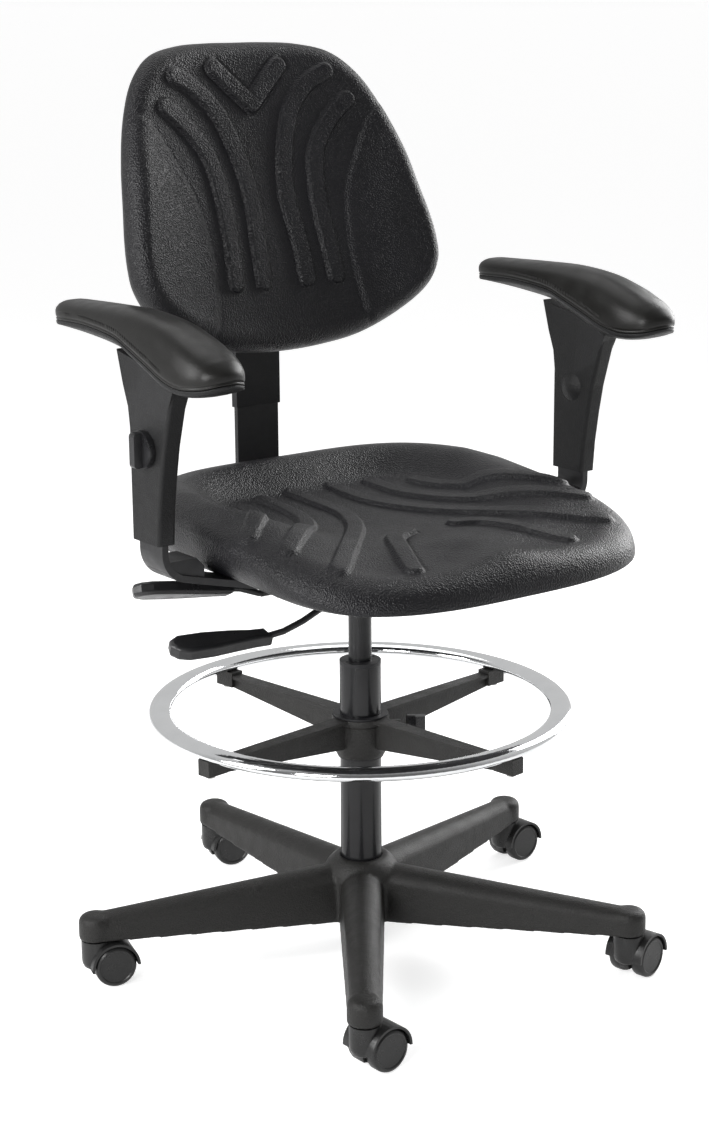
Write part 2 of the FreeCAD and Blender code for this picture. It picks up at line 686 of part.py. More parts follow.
def arm_pad_base():
    under = [Vector(0, y, z) for y, z in PAD_UNDER]
    seam = [Vector(0, y, z - 0.2) for y, z in reversed(PAD_SEAM)]
    slab = profile_slab(under + seam, 250, 110)
    plan = Part.Face(spline_wire(pad_plan(5.0))).extrude(Vector(0, 0, 140))
    return slab.common(plan)


def profile_slab(points, start, width):
    corners = [Vector(start, p.y, p.z) for p in points]
    face = Part.Face(Part.makePolygon(corners + corners[:1]))
    return face.extrude(Vector(width, 0, 0))


def arm_pad():
    seam = [Vector(0, y, z) for y, z in PAD_SEAM]
    ridge = [Vector(0, y, z) for y, z in PAD_RIDGE]
    slab = profile_slab(seam + ridge, 250, 110)
    plan = Part.Face(spline_wire(pad_plan(0.0))).extrude(Vector(0, 0, 140))
    crown = cyl(66, Vector(ARM_X, -240, 752), Vector(ARM_X, 200, 752))
    return slab.common(plan).common(crown)


def arm_knob():
    y = ARM_KNOB.y
    z = ARM_KNOB.z
    face = ARM_X + POST_HALF
    stud = cyl(4.0, Vector(face - 6.0, y, z), Vector(face + 4, y, z))
    disc = cyl(20.5, Vector(face + 0.4, y, z), Vector(face + 7, y, z))
    grip = box(face + 6, face + 17, y - 5, y + 5, z - 19, z + 19)
    grip = fillet_where(grip, 4, lambda e: along_y(e) and e.BoundBox.XMin > face + 10)
    return stud.fuse([disc, grip]).removeSplitter()


# ----------------------------------------------------------------------------------------
# Back: bar, cover, height slider, shell, cushion, screws and knob
# ----------------------------------------------------------------------------------------
def back_frame(shape):
    """From the leaning frame (x, rearward, up the bar) at the bar's bend to the chair's frame."""
    copy = shape.copy()
    copy.rotate(Vector(0, 0, 0), Vector(1, 0, 0), -BACK_TILT)
    copy.translate(Vector(0, BAR_FRONT_Y, BAR_BEND_Z))
    return copy


def back_bar():
    half = BAR_WIDTH / 2
    t = BAR_THICK
    low = BAR_LOW_Z
    bend = 26.0
    y_rear = BAR_FRONT_Y + t
    centre = Vector(-half, y_rear - bend, low + bend)
    elbow = Part.makeCylinder(bend, BAR_WIDTH, centre, Vector(1, 0, 0))
    inside = Part.makeCylinder(bend - t, BAR_WIDTH + 2, centre - Vector(1, 0, 0), Vector(1, 0, 0))
    elbow = elbow.cut(inside).common(box(-half, half, centre.y, y_rear + 1, low - 1, centre.z))
    foot = box(-half, half, BACK_PIVOT.y, centre.y, low, low + t)
    upright = box(-half, half, BAR_FRONT_Y, y_rear, centre.z, BAR_BEND_Z)
    leaning = back_frame(box(-half, half, 0, t, -1.0, 172))
    knuckle = cyl(9, BACK_PIVOT - Vector(41, 0, 0), BACK_PIVOT + Vector(41, 0, 0))
    cheek = box(-half, half, BACK_PIVOT.y, BACK_PIVOT.y + 26, low, BACK_PIVOT.z)
    bar = foot.fuse([elbow, upright, leaning, knuckle, cheek])
    bore = cyl(5.05, BACK_PIVOT - Vector(60, 0, 0), BACK_PIVOT + Vector(60, 0, 0))
    return bar.cut(bore).removeSplitter()


def back_pivot_pin():
    return cyl(5.0, BACK_PIVOT - Vector(58, 0, 0), BACK_PIVOT + Vector(58, 0, 0))


def back_bar_cover():
    half = BAR_WIDTH / 2
    y0 = BAR_FRONT_Y
    y1 = y0 + BAR_THICK
    sleeve = box(-half - 1.8, half + 1.8, y0 - 2, y1 + 2, 646, 732)
    return sleeve.cut(box(-half, half, y0, y1, 600, 740))


def back_slider():
    half = BAR_WIDTH / 2
    gap = 0.3
    body = box(-half - 9, half + 9, -8, BAR_THICK + 12, 50, 122)
    body = fillet_where(body, 6, along_z)
    plate = box(-62, 62, -15, -8, 44, 136)
    plate = fillet_where(plate, 12, along_y)
    pads = []
    for x, t in BACK_SCREWS:
        pads.append(cyl(9, Vector(x, -23.6, t), Vector(x, -14, t)))
    body = body.fuse([plate] + pads)
    body = body.cut(box(-half - gap, half + gap, -gap, BAR_THICK + gap, 0, 160))
    body = body.cut(cyl(4.1, Vector(0, BAR_THICK, 86), Vector(0, 60, 86)))
    for x, t in BACK_SCREWS:
        body = body.cut(cyl(2.5, Vector(x, -30, t), Vector(x, 0, t)))
    return back_frame(body.removeSplitter())


def back_centre(t):
    return Vector(0, BACK_FRONT_N - BACK_CURVE_R, t)


BACK_OUTLINE = [
    (0, -30), (60, -27), (110, -19), (160, 0), (198, 24), (216, 52), (219, 80),
    (216, 112), (209, 150), (199, 202), (183, 254), (160, 298), (128, 328),
    (85, 341), (40, 345),
]


def back_wire(inset, n):
    points = []
    outline = BACK_OUTLINE + [(0, 345.5)]
    mirror = [(-x, t) for x, t in reversed(BACK_OUTLINE[1:])]
    for x, t in outline + mirror:
        points.append((x * (1 - inset / 219.0), n, 157 + (t - 157) * (1 - inset / 188.0)))
    return spline_wire(points)


def curved_slab(inner_r, outer_r, inset):
    """Part of a vertical drum, cut to the backrest's outline."""
    drum = cyl(outer_r, back_centre(-100), back_centre(500))
    drum = drum.cut(cyl(inner_r, back_centre(-101), back_centre(501)))
    outline = Part.Face(back_wire(inset, -200)).extrude(Vector(0, 230, 0))
    return drum.common(outline)


def backrest_cushion():
    front = BACK_CURVE_R
    rim = curved_slab(front, front + BACK_RIM_T, 0.0)
    rear = curved_slab(front + BACK_RIM_T, front + BACK_CUSHION_T, 14.0)
    return back_frame(rim.fuse(rear).removeSplitter())


def back_shell():
    inner = BACK_CURVE_R + BACK_CUSHION_T
    shell = curved_slab(inner, inner + BACK_SHELL_T, 27.0)
    for x, t in BACK_SCREWS:
        shell = shell.cut(cyl(2.5, Vector(x, -40, t), Vector(x, -10, t)))
    return back_frame(shell)


def back_screws():
    solids = []
    for x, t in BACK_SCREWS:
        head = cyl(4.6, Vector(x, -8, t), Vector(x, -4.6, t))
        shank = cyl(2.5, Vector(x, -25.5, t), Vector(x, -7.5, t))
        screw = head.fuse(shank).cut(cyl(1.6, Vector(x, -6, t), Vector(x, -4, t)))
        solids.append(back_frame(screw))
    return Part.makeCompound(solids)


def back_knob():
    near = BAR_THICK + 0.8
    stud = cyl(4.0, Vector(0, near, 86), Vector(0, 22, 86))
    head = cyl(21, Vector(0, 19.5, 86), Vector(0, 38, 86))
    for k in range(5):
        angle = 2 * math.pi * k / 5
        x = 25.5 * math.cos(angle)
        t = 86 + 25.5 * math.sin(angle)
        head = head.cut(cyl(8, Vector(x, 18, t), Vector(x, 40, t)))
    return back_frame(stud.fuse(head).removeSplitter())


def save(name, shape):
    shape.exportStep(os.path.join(OUT, name + ".step"))
    print(name, len(shape.Solids), "solid(s)", "valid" if shape.isValid() else "INVALID")


def main():
    os.makedirs("parts", exist_ok=True)
    pieces = {
        "base_star": base_star(),
        "caster_sockets": caster_sockets(),
        "column_tube": column_tube(),
        "column_bushing": column_bushing(),
        "thrust_bearing": thrust_bearing(),
        "piston_rod": piston_rod(),
        "gas_cylinder": gas_cylinder(),
        "release_pin": release_pin(),
        "foot_ring_liner": foot_ring_liner(),
        "foot_ring_spider": foot_ring_spider(),
        "foot_ring_tube": ring_tube(),
        "foot_ring_screws": foot_ring_screws(),
        "foot_ring_knob": foot_ring_knob(),
        "mechanism_housing": mechanism_housing(),
        "seat_plate": seat_plate(),
        "seat_bolts": seat_bolts(),
        "lift_lever_rod": lift_lever_rod(),
        "lift_lever_paddle": lift_lever_paddle(),
        "tilt_lever_rod": tilt_lever_rod(),
        "tilt_lever_paddle": tilt_lever_paddle(),
        "seat_pan": seat_pan(),
        "seat_cushion": seat_cushion(),
        "back_pivot_pin": back_pivot_pin(),
        "back_bar": back_bar(),
        "back_bar_cover": back_bar_cover(),
        "back_slider": back_slider(),
        "back_shell": back_shell(),
        "backrest_cushion": backrest_cushion(),
        "back_screws": back_screws(),
        "back_knob": back_knob(),
    }
    sides = {
        "arm_bar": arm_bar(),
        "arm_post": arm_post(),
        "arm_pad_base": arm_pad_base(),
        "arm_pad": arm_pad(),
        "arm_knob": arm_knob(),
    }
    for name, shape in sides.items():
        pieces[name + "_left"] = shape
        pieces[name + "_right"] = mirrored_x(shape)
    for i in range(LEG_COUNT):
        pieces["caster_stem_%d" % (i + 1)] = on_leg(caster_stem(), i)
        pieces["caster_hood_%d" % (i + 1)] = on_leg(caster_hood(), i)
        pieces["caster_axle_%d" % (i + 1)] = on_leg(caster_axle(), i)
        pieces["caster_wheels_%d" % (i + 1)] = on_leg(caster_wheels(), i)
    for name, shape in pieces.items():
        save(name, shape)
    print(len(pieces), "nodes")


main()
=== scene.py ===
import math

import bmesh
import bpy
import numpy as np
from mathutils import Matrix, Vector


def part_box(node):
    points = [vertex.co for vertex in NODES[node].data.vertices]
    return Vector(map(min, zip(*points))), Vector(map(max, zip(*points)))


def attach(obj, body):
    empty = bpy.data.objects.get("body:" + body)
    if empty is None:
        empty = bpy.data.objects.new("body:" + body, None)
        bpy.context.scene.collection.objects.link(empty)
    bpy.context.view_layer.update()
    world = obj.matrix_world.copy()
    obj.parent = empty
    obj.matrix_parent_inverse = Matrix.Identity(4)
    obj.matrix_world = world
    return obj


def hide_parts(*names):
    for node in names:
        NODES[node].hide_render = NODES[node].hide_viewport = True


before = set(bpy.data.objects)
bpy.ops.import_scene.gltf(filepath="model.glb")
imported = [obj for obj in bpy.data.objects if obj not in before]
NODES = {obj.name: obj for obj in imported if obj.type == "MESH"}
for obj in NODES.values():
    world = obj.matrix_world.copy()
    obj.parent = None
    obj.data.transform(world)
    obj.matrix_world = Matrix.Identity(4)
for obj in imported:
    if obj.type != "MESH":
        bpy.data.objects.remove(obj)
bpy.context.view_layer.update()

# Looks for the drafting chair.  Shapes are worked out in millimetres in the chair's frame
# (+Z up, the chair faces -Y) and written to the meshes in metres.
MM = 0.001


def node_box(name):
    """Lowest and highest corner of a CAD node, in millimetres."""
    low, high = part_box(name)
    return [c / MM for c in low], [c / MM for c in high]


# ----------------------------------------------------------------------------------------
# Mesh helpers
# ----------------------------------------------------------------------------------------
def make_object(name, verts, faces, body, material, smooth=True):
    mesh = bpy.data.meshes.new(name)
    mesh.from_pydata((np.asarray(verts, dtype=float) * MM).tolist(), [], faces)
    mesh.update()
    if smooth:
        mesh.shade_smooth()
    mesh.materials.append(material)
    obj = bpy.data.objects.new(name, mesh)
    bpy.context.scene.collection.objects.link(obj)
    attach(obj, body)
    return obj


def rings_mesh(rings):
    """Vertices and faces of a closed skin over rings of equal length, with a point at each end."""
    count = len(rings[0])
    verts = [p for ring in rings for p in ring]
    faces = []
    for k in range(len(rings) - 1):
        a, b = k * count, (k + 1) * count
        for i in range(count):
            j = (i + 1) % count
            faces.append((a + i, a + j, b + j, b + i))
    for ring_index, flip in ((0, True), (len(rings) - 1, False)):
        start = ring_index * count
        centre = np.mean(np.asarray(rings[ring_index], dtype=float), axis=0)
        verts.append(tuple(centre))
        tip = len(verts) - 1
        for i in range(count):
            j = (i + 1) % count
            faces.append((start + j, start + i, tip) if flip else (start + i, start + j, tip))
    return verts, faces


def smooth_line(points, per_span=10, closed=False):
    """Catmull-Rom curve through the points."""
    pts = [np.asarray(p, dtype=float) for p in points]
    n = len(pts)
    spans = n if closed else n - 1
    line = []
    for i in range(spans):
        if closed:
            p0, p1, p2, p3 = (pts[(i + k - 1) % n] for k in range(4))
        else:
            p0, p1 = pts[max(i - 1, 0)], pts[i]
            p2, p3 = pts[i + 1], pts[min(i + 2, n - 1)]
        for k in range(per_span):
            t = k / per_span
            line.append(0.5 * (2 * p1 + (p2 - p0) * t + (2 * p0 - 5 * p1 + 4 * p2 - p3) * t * t
                               + (3 * p1 - p0 - 3 * p2 + p3) * t ** 3))
    if not closed:
        line.append(pts[-1])
    return np.array(line)


def mirrored(points):
    return [(-p[0],) + tuple(p[1:]) for p in points]


def distance_to(line, x, y):
    """Distance from every point (x, y) to an open line of points."""
    best = np.full(x.shape, 1e9)
    for (ax, ay), (bx, by) in zip(line[:-1], line[1:]):
        dx, dy = bx - ax, by - ay
        length = dx * dx + dy * dy
        t = np.clip(((x - ax) * dx + (y - ay) * dy) / length, 0, 1)
        best = np.minimum(best, np.hypot(x - ax - t * dx, y - ay - t * dy))
    return best


def ramp(value, start, end):
    t = np.clip((value - start) / (end - start), 0, 1)
    return t * t * (3 - 2 * t)


RIB_HEIGHT = 4.4
RIB_HALF = 12.6
RIB_WALL = 4.5


def rib_relief(lines, x, y):
    """Height of the moulded ribs: a flat crown, steep rounded walls and a crease at the foot."""
    relief = np.zeros(x.shape)
    for line in lines:
        d = distance_to(line, x, y)
        crown = RIB_HEIGHT * (1 - ramp(d, RIB_HALF - RIB_WALL, RIB_HALF))
        crown += 0.5 * np.clip(1 - (d / RIB_HALF) ** 2, 0, 1)
        crease = -0.9 * np.exp(-((d - RIB_HALF - 0.8) / 1.6) ** 2)
        relief = np.where(crown > relief, crown, relief) + np.where(relief <= 0, crease, 0)
    return relief


# ----------------------------------------------------------------------------------------
# Materials
# ----------------------------------------------------------------------------------------
class Shader:
    """A Principled material with helpers for the noise that breaks up its surface."""

    def __init__(self, name, colour, roughness, metallic=0.0, specular=0.5, coat=0.0,
                 coat_roughness=0.1):
        self.material = bpy.data.materials.new(name)
        self.material.use_nodes = True
        self.tree = self.material.node_tree
        self.bsdf = self.tree.nodes["Principled BSDF"]
        self.coords = self.tree.nodes.new("ShaderNodeTexCoord").outputs["Object"]
        self.colour = (*colour, 1.0)
        self.roughness = roughness
        self.set("Base Color", self.colour)
        self.set("Roughness", roughness)
        self.set("Metallic", metallic)
        self.set("Specular IOR Level", specular)
        self.set("Coat Weight", coat)
        self.set("Coat Roughness", coat_roughness)
        self.height = None

    def set(self, socket, value):
        self.bsdf.inputs[socket].default_value = value

    def link(self, a, b):
        self.tree.links.new(a, b)

    def noise(self, scale, detail=3.0, stretch=None):
        node = self.tree.nodes.new("ShaderNodeTexNoise")
        node.inputs["Scale"].default_value = scale
        node.inputs["Detail"].default_value = detail
        source = self.coords
        if stretch:
            mapping = self.tree.nodes.new("ShaderNodeMapping")
            mapping.inputs["Scale"].default_value = stretch
            self.link(self.coords, mapping.inputs["Vector"])
            source = mapping.outputs["Vector"]
        self.link(source, node.inputs["Vector"])
        return node.outputs["Fac"]

    def cells(self, scale, smooth=0.4):
        node = self.tree.nodes.new("ShaderNodeTexVoronoi")
        node.feature = "SMOOTH_F1"
        node.inputs["Scale"].default_value = scale
        node.inputs["Smoothness"].default_value = smooth
        self.link(self.coords, node.inputs["Vector"])
        return node.outputs["Distance"]

    def span(self, source, low, high, from_low=0.3, from_high=0.7):
        node = self.tree.nodes.new("ShaderNodeMapRange")
        node.inputs["From Min"].default_value = from_low
        node.inputs["From Max"].default_value = from_high
        node.inputs["To Min"].default_value = low
        node.inputs["To Max"].default_value = high
        self.link(source, node.inputs["Value"])
        return node.outputs["Result"]

    def mix(self, factor, first, second):
        node = self.tree.nodes.new("ShaderNodeMix")
        node.data_type = "RGBA"
        self.link(factor, node.inputs["Factor"])
        for socket, value in ((node.inputs[6], first), (node.inputs[7], second)):
            if isinstance(value, tuple):
                socket.default_value = value
            else:
                self.link(value, socket)
        return node.outputs[2]

    def vary_colour(self, source, amount):
        light = tuple(min(c * (1 + amount), 1.0) for c in self.colour[:3]) + (1.0,)
        dark = tuple(c * (1 - amount) for c in self.colour[:3]) + (1.0,)
        factor = self.span(source, 0.0, 1.0)
        self.tint = self.mix(factor, dark, light)
        self.link(self.tint, self.bsdf.inputs["Base Color"])
        return self

    def vary_roughness(self, source, amount):
        low, high = self.roughness - amount, self.roughness + amount
        self.link(self.span(source, max(low, 0.02), min(high, 1.0)), self.bsdf.inputs["Roughness"])
        return self

    def worn_edges(self, colour, amount=0.5):
        """Lighter, rubbed edges where the surface is convex."""
        geometry = self.tree.nodes.new("ShaderNodeNewGeometry")
        edge = self.span(geometry.outputs["Pointiness"], 0.0, amount, 0.52, 0.60)
        self.tint = self.mix(edge, self.tint, (*colour, 1.0))
        self.link(self.tint, self.bsdf.inputs["Base Color"])
        return self

    def bump(self, source, distance, strength=1.0):
        node = self.tree.nodes.new("ShaderNodeBump")
        node.inputs["Strength"].default_value = strength
        node.inputs["Distance"].default_value = distance
        self.link(source, node.inputs["Height"])
        if self.height:
            self.link(self.height, node.inputs["Normal"])
        self.height = node.outputs["Normal"]
        self.link(self.height, self.bsdf.inputs["Normal"])
        return self


def skin_material():
    """Self-skinned urethane foam: near black, fine leather pebble, soft sheen."""
    s = Shader("urethane_skin", (0.0062, 0.0060, 0.0076), 0.37, specular=0.33)
    s.vary_colour(s.noise(9, 4), 0.25)
    s.vary_roughness(s.noise(34, 4), 0.06)
    s.bump(s.cells(520, 0.45), 0.0009, 1.0)
    s.bump(s.noise(330, 5), 0.0008, 0.6)
    s.bump(s.noise(16, 2), 0.0015, 0.10)
    return s.material


def armpad_material():
    s = Shader("armpad_skin", (0.0085, 0.0082, 0.0076), 0.36, specular=0.27)
    s.vary_colour(s.noise(14, 4), 0.18)
    s.vary_roughness(s.noise(50, 4), 0.06)
    s.bump(s.cells(900, 0.6), 0.0002, 0.5)
    s.bump(s.noise(500, 4), 0.0002, 0.4)
    return s.material


def nylon_material(name, colour, roughness, grain=0.0003, specular=0.4):
    """Glass-filled nylon with a spark-eroded mould texture."""
    s = Shader(name, colour, roughness, specular=specular)
    s.vary_colour(s.noise(700, 3), 0.35)
    s.vary_roughness(s.noise(60, 4), 0.07)
    s.worn_edges(tuple(c * 2.2 for c in colour), 0.6)
    s.bump(s.noise(620, 4), grain * 1.6, 0.8)
    s.bump(s.noise(90, 3), 0.0004, 0.12)
    return s.material


def painted_steel_material():
    s = Shader("black_powder_coat", (0.012, 0.012, 0.013), 0.42, specular=0.45)
    s.vary_colour(s.noise(120, 4), 0.2)
    s.vary_roughness(s.noise(80, 4), 0.08)
    s.worn_edges((0.05, 0.05, 0.05), 0.4)
    s.bump(s.noise(900, 5), 0.00025, 0.5)
    return s.material


def gloss_steel_material():
    s = Shader("gloss_black_enamel", (0.008, 0.008, 0.009), 0.26, specular=0.30, coat=0.12)
    s.vary_colour(s.noise(60, 3), 0.2)
    s.vary_roughness(s.noise(30, 4, (1, 1, 0.15)), 0.06)
    s.bump(s.noise(300, 2), 0.00005, 0.3)
    return s.material


def chrome_material():
    s = Shader("polished_chrome", (0.86, 0.87, 0.88), 0.07, metallic=1.0)
    s.vary_colour(s.noise(25, 3), 0.03)
    s.vary_roughness(s.noise(40, 5), 0.03)
    s.bump(s.noise(18, 2), 0.0002, 0.08)
    return s.material


def zinc_material():
    s = Shader("zinc_plate", (0.42, 0.42, 0.41), 0.34, metallic=1.0)
    s.vary_colour(s.noise(90, 4), 0.15)
    s.vary_roughness(s.noise(140, 4), 0.1)
    s.bump(s.noise(600, 4), 0.0001, 0.4)
    return s.material


SKIN = skin_material()
ARM_SKIN = armpad_material()
BASE_NYLON = nylon_material("base_nylon", (0.0145, 0.0140, 0.0132), 0.44, 0.0007, 0.32)
POST_NYLON = nylon_material("post_nylon", (0.0088, 0.0088, 0.0092), 0.46, 0.0005, 0.24)
DARK_NYLON = nylon_material("dark_nylon", (0.009, 0.009, 0.010), 0.44, 0.0002, 0.3)
KNOB_NYLON = nylon_material("knob_nylon", (0.011, 0.011, 0.012), 0.33, 0.0001, 0.5)
WHEEL_NYLON = nylon_material("wheel_nylon", (0.012, 0.012, 0.012), 0.32, 0.00008, 0.42)
STEEL = painted_steel_material()
GLOSS = gloss_steel_material()
CHROME = chrome_material()
ZINC = zinc_material()

MATERIAL_OF = {
    "base_star": BASE_NYLON, "caster_sockets": ZINC, "column_tube": GLOSS,
    "column_bushing": DARK_NYLON,
    "thrust_bearing": ZINC, "piston_rod": ZINC, "gas_cylinder": GLOSS, "release_pin": ZINC,
    "foot_ring_liner": DARK_NYLON, "foot_ring_spider": BASE_NYLON, "foot_ring_tube": CHROME,
    "foot_ring_screws": ZINC, "foot_ring_knob": KNOB_NYLON, "mechanism_housing": STEEL,
    "seat_plate": STEEL, "seat_bolts": ZINC, "lift_lever_rod": STEEL,
    "lift_lever_paddle": KNOB_NYLON,
    "tilt_lever_rod": STEEL, "tilt_lever_paddle": KNOB_NYLON, "seat_pan": DARK_NYLON,
    "back_pivot_pin": ZINC, "back_bar": STEEL, "back_bar_cover": DARK_NYLON,
    "back_slider": DARK_NYLON,
    "back_shell": DARK_NYLON, "back_screws": ZINC, "back_knob": KNOB_NYLON,
    "arm_bar": STEEL, "arm_post": POST_NYLON, "arm_pad_base": DARK_NYLON, "arm_knob": KNOB_NYLON,
    "caster_stem": ZINC, "caster_hood": WHEEL_NYLON, "caster_axle": ZINC,
    "caster_wheels": WHEEL_NYLON,
}


def dress_cad_nodes():
    """Give each CAD node whose kind is listed in MATERIAL_OF its material; the others keep their
    own.
    """
    for name, obj in NODES.items():
        kind = name
        for ending in ("_left", "_right", "_1", "_2", "_3", "_4", "_5"):
            kind = kind.removesuffix(ending)
        material = MATERIAL_OF.get(kind)
        if not material:
            continue
        obj.data.materials.clear()
        obj.data.materials.append(material)


# ----------------------------------------------------------------------------------------
# Seat cushion
# ----------------------------------------------------------------------------------------
SEAT_SQUARENESS = 3.8
SEAT_FRONT_SQUARENESS = 3.0
SEAT_WIDEST_Y = -110.0
SEAT_ROLL = 42.0            # how far in from the outline the top edge rolls over
SEAT_UNDER = 64.0           # how far in from the outline the lower edge is rounded
SEAT_RAYS = 720
SEAT_TOP_RINGS = 130
SEAT_ROLL_RINGS = 18
SEAT_UNDER_RINGS = 20
SEAT_PARTING_RING = 9       # the ring that dips in as the parting line of the mould
SEAT_PARTING_DEPTH = 1.6

SEAT_RIBS = [
    [(30, 92), (29, 28), (39, -25), (67, -81), (125, -150), (189, -217)],
    [(80, 84), (83, 24), (105, -40), (158, -103), (213, -157)],
    [(125, 53), (137, 12), (175, -45), (226, -100)],
    [(35, -135), (62, -148), (86, -190), (110, -243)],
]


def seat_top(x, y):
    """Height of the seat's floor, and the swell of its front part on top of that."""
    floor = 553.5 + 3.0 * ramp(y, 20, 95) - 3.5 * ramp(-y, 215, 262)
    sides = 21.0 * np.clip(np.abs(x) / 225, 0, 1.2) ** 2.4
    pommel = 8.0 * np.exp(-(x / 44) ** 2) * ramp(-y, 110, 215)
    thighs = -3.0 * np.exp(-((np.abs(x) - 125) / 55) ** 2) * ramp(-y, 120, 230)
    return floor + sides * ramp(y, -255, -110), pommel + thighs


RIM_Y = [-301, -260, -215, -150, -60, 20, 80, 194]
RIM_CREST = [547, 549, 558, 568, 577, 586, 590, 590]
RIM_WIDEST = [511, 515, 526, 545, 561, 565, 560, 548]


def build_seat():
    low, high = node_box("seat_cushion")
    half = high[0]
    front, rear = low[1], high[1]
    bottom = low[2]
    phi = np.linspace(0, 2 * math.pi, SEAT_RAYS, endpoint=False)
    cos, sin = np.cos(phi), np.sin(phi)
    reach = np.where(sin > 0, rear - SEAT_WIDEST_Y, SEAT_WIDEST_Y - front)
    n = np.where(sin > 0, SEAT_SQUARENESS, SEAT_FRONT_SQUARENESS)
    radius = ((np.abs(cos) / half) ** n + (np.abs(sin) / reach) ** n) ** (-1 / n)
    lines = [smooth_line(side) for rib in SEAT_RIBS for side in (rib, mirrored(rib))]

    def at(r):
        return cos * r, SEAT_WIDEST_Y + sin * r

    inner = radius - SEAT_ROLL
    edge_y = at(radius)[1]
    crest = np.interp(edge_y, RIM_Y, RIM_CREST)
    widest = np.interp(edge_y, RIM_Y, RIM_WIDEST)
    behind = ramp(edge_y, -40, 90)
    wall = 100 - 36 * behind
    rings = []
    for k in range(1, SEAT_TOP_RINGS + 1):
        r = inner * k / SEAT_TOP_RINGS
        x, y = at(r)
        floor, swell = seat_top(x, y)
        rise = 1 - ramp(inner - r, 0, wall)
        z = floor * (1 - rise) + crest * rise + swell
        z = z + rib_relief(lines, x, y) * (1 - behind * ramp(rise, 0.6, 1.0))
        rings.append(np.stack([x, y, z], axis=1))
    _, swell = seat_top(*at(inner))
    for k in range(1, SEAT_ROLL_RINGS + 1):
        a = math.pi / 2 * k / SEAT_ROLL_RINGS
        out, up = math.sin(a) ** (2 / 2.15), math.cos(a) ** (2 / 2.15)
        x, y = at(inner + SEAT_ROLL * out)
        z = widest + (crest + swell * up - widest) * up
        relief = rib_relief(lines, x, y) * (1 - behind) * (1 - ramp(k, 8, 15))
        rings.append(np.stack([x, y, z + relief], axis=1))
    for k in range(1, SEAT_UNDER_RINGS + 1):
        b = math.pi / 2 * k / SEAT_UNDER_RINGS
        inset = SEAT_UNDER * (1 - math.cos(b) ** (2 / 2.3))
        z = widest - (widest - bottom) * math.sin(b)
        parting = SEAT_PARTING_DEPTH if k == SEAT_PARTING_RING else 0.0
        x, y = at(radius - inset - parting)
        rings.append(np.stack([x, y, z], axis=1))
    for share in (0.8, 0.5, 0.2):
        x, y = at((radius - SEAT_UNDER) * share)
        rings.append(np.stack([x, y, np.full_like(x, bottom)], axis=1))
    verts, faces = rings_mesh(rings)
    obj = make_object("seat_cushion_skin", verts, faces, "mechanism", SKIN)
    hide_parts("seat_cushion")
    return obj


# ----------------------------------------------------------------------------------------
# Backrest cushion
# ----------------------------------------------------------------------------------------
BACK_TILT = math.radians(16.5)
BAR_FRONT_Y = 208.0
BAR_BEND_Z = 735.0
BACK_FRONT_N = -75.7
BACK_CURVE_R = 598.0
BACK_THICK = 47.0
BACK_MIDDLE_T = 157.0
BACK_DRUM_HALF = 240.0      # beyond this half width the drum's face stays level
BACK_ROLL = 24.0            # how far in from the outline the front edge rolls over
BACK_ROLL_DEPTH = 21.0
BACK_RAYS = 720
BACK_FACE_RINGS = 130
BACK_ROLL_RINGS = 16
BACK_OUTLINE = [
    (0, -30), (60, -27), (110, -19), (160, 0), (198, 24), (216, 52), (219, 80),
    (216, 112), (209, 150), (199, 202), (183, 254), (160, 298), (128, 328),
    (85, 341), (40, 345), (0, 345.5),
]
# Ribs and creases as (x, height above the floor) on the front face
BACK_V = [(46, 1054), (24, 1033), (0, 1011)]
BACK_RIBS = [
    [(32, 806), (30, 850), (26, 900), (33, 950), (52, 1000), (79, 1030), (108, 1044)],
    [(73, 806), (70, 850), (69, 900), (77, 950), (101, 985), (130, 1009)],
]
# The side behind the rim, as (inset from the outline, depth behind the front face)
BACK_SIDE = [(0.3, 24), (1.6, 28), (3.6, 31.5), (5.6, 33.2), (6.4, 34.6), (6.8, 36.2), (10.5, 39.6),
             (15, 43), (20, 45.6), (24, 46.8), (26, 47)]
BACK_CREASE = [(176, 1010), (152, 985), (128, 945), (109, 905), (100, 860), (99, 810),
               (108, 750), (118, 715)]


def up_the_back(z):
    """Distance up the leaning bar of a height on the cushion's front face."""
    return (z - BAR_BEND_Z + BACK_FRONT_N * math.sin(BACK_TILT)) / math.cos(BACK_TILT)


def back_to_chair(x, n, t):
    y = BAR_FRONT_Y + n * math.cos(BACK_TILT) + t * math.sin(BACK_TILT)
    z = BAR_BEND_Z - n * math.sin(BACK_TILT) + t * math.cos(BACK_TILT)
    return np.stack([x, y, z], axis=1)


def outline_radius(outline, centre_y, phi):
    """Distance from (0, centre_y) to a closed outline in each direction phi."""
    x, y = outline[:, 0], outline[:, 1] - centre_y
    angle = np.unwrap(np.arctan2(y, x))
    order = np.argsort(angle % (2 * math.pi))
    ring = (angle % (2 * math.pi))[order]
    dist = np.hypot(x, y)[order]
    return np.interp(phi % (2 * math.pi), ring, dist, period=2 * math.pi)


def drum(x):
    """The plain curved face of the back, as a depth at a distance from its middle line."""
    level = np.minimum(x * x, BACK_DRUM_HALF ** 2)
    return BACK_FRONT_N - BACK_CURVE_R + np.sqrt(BACK_CURVE_R ** 2 - level)


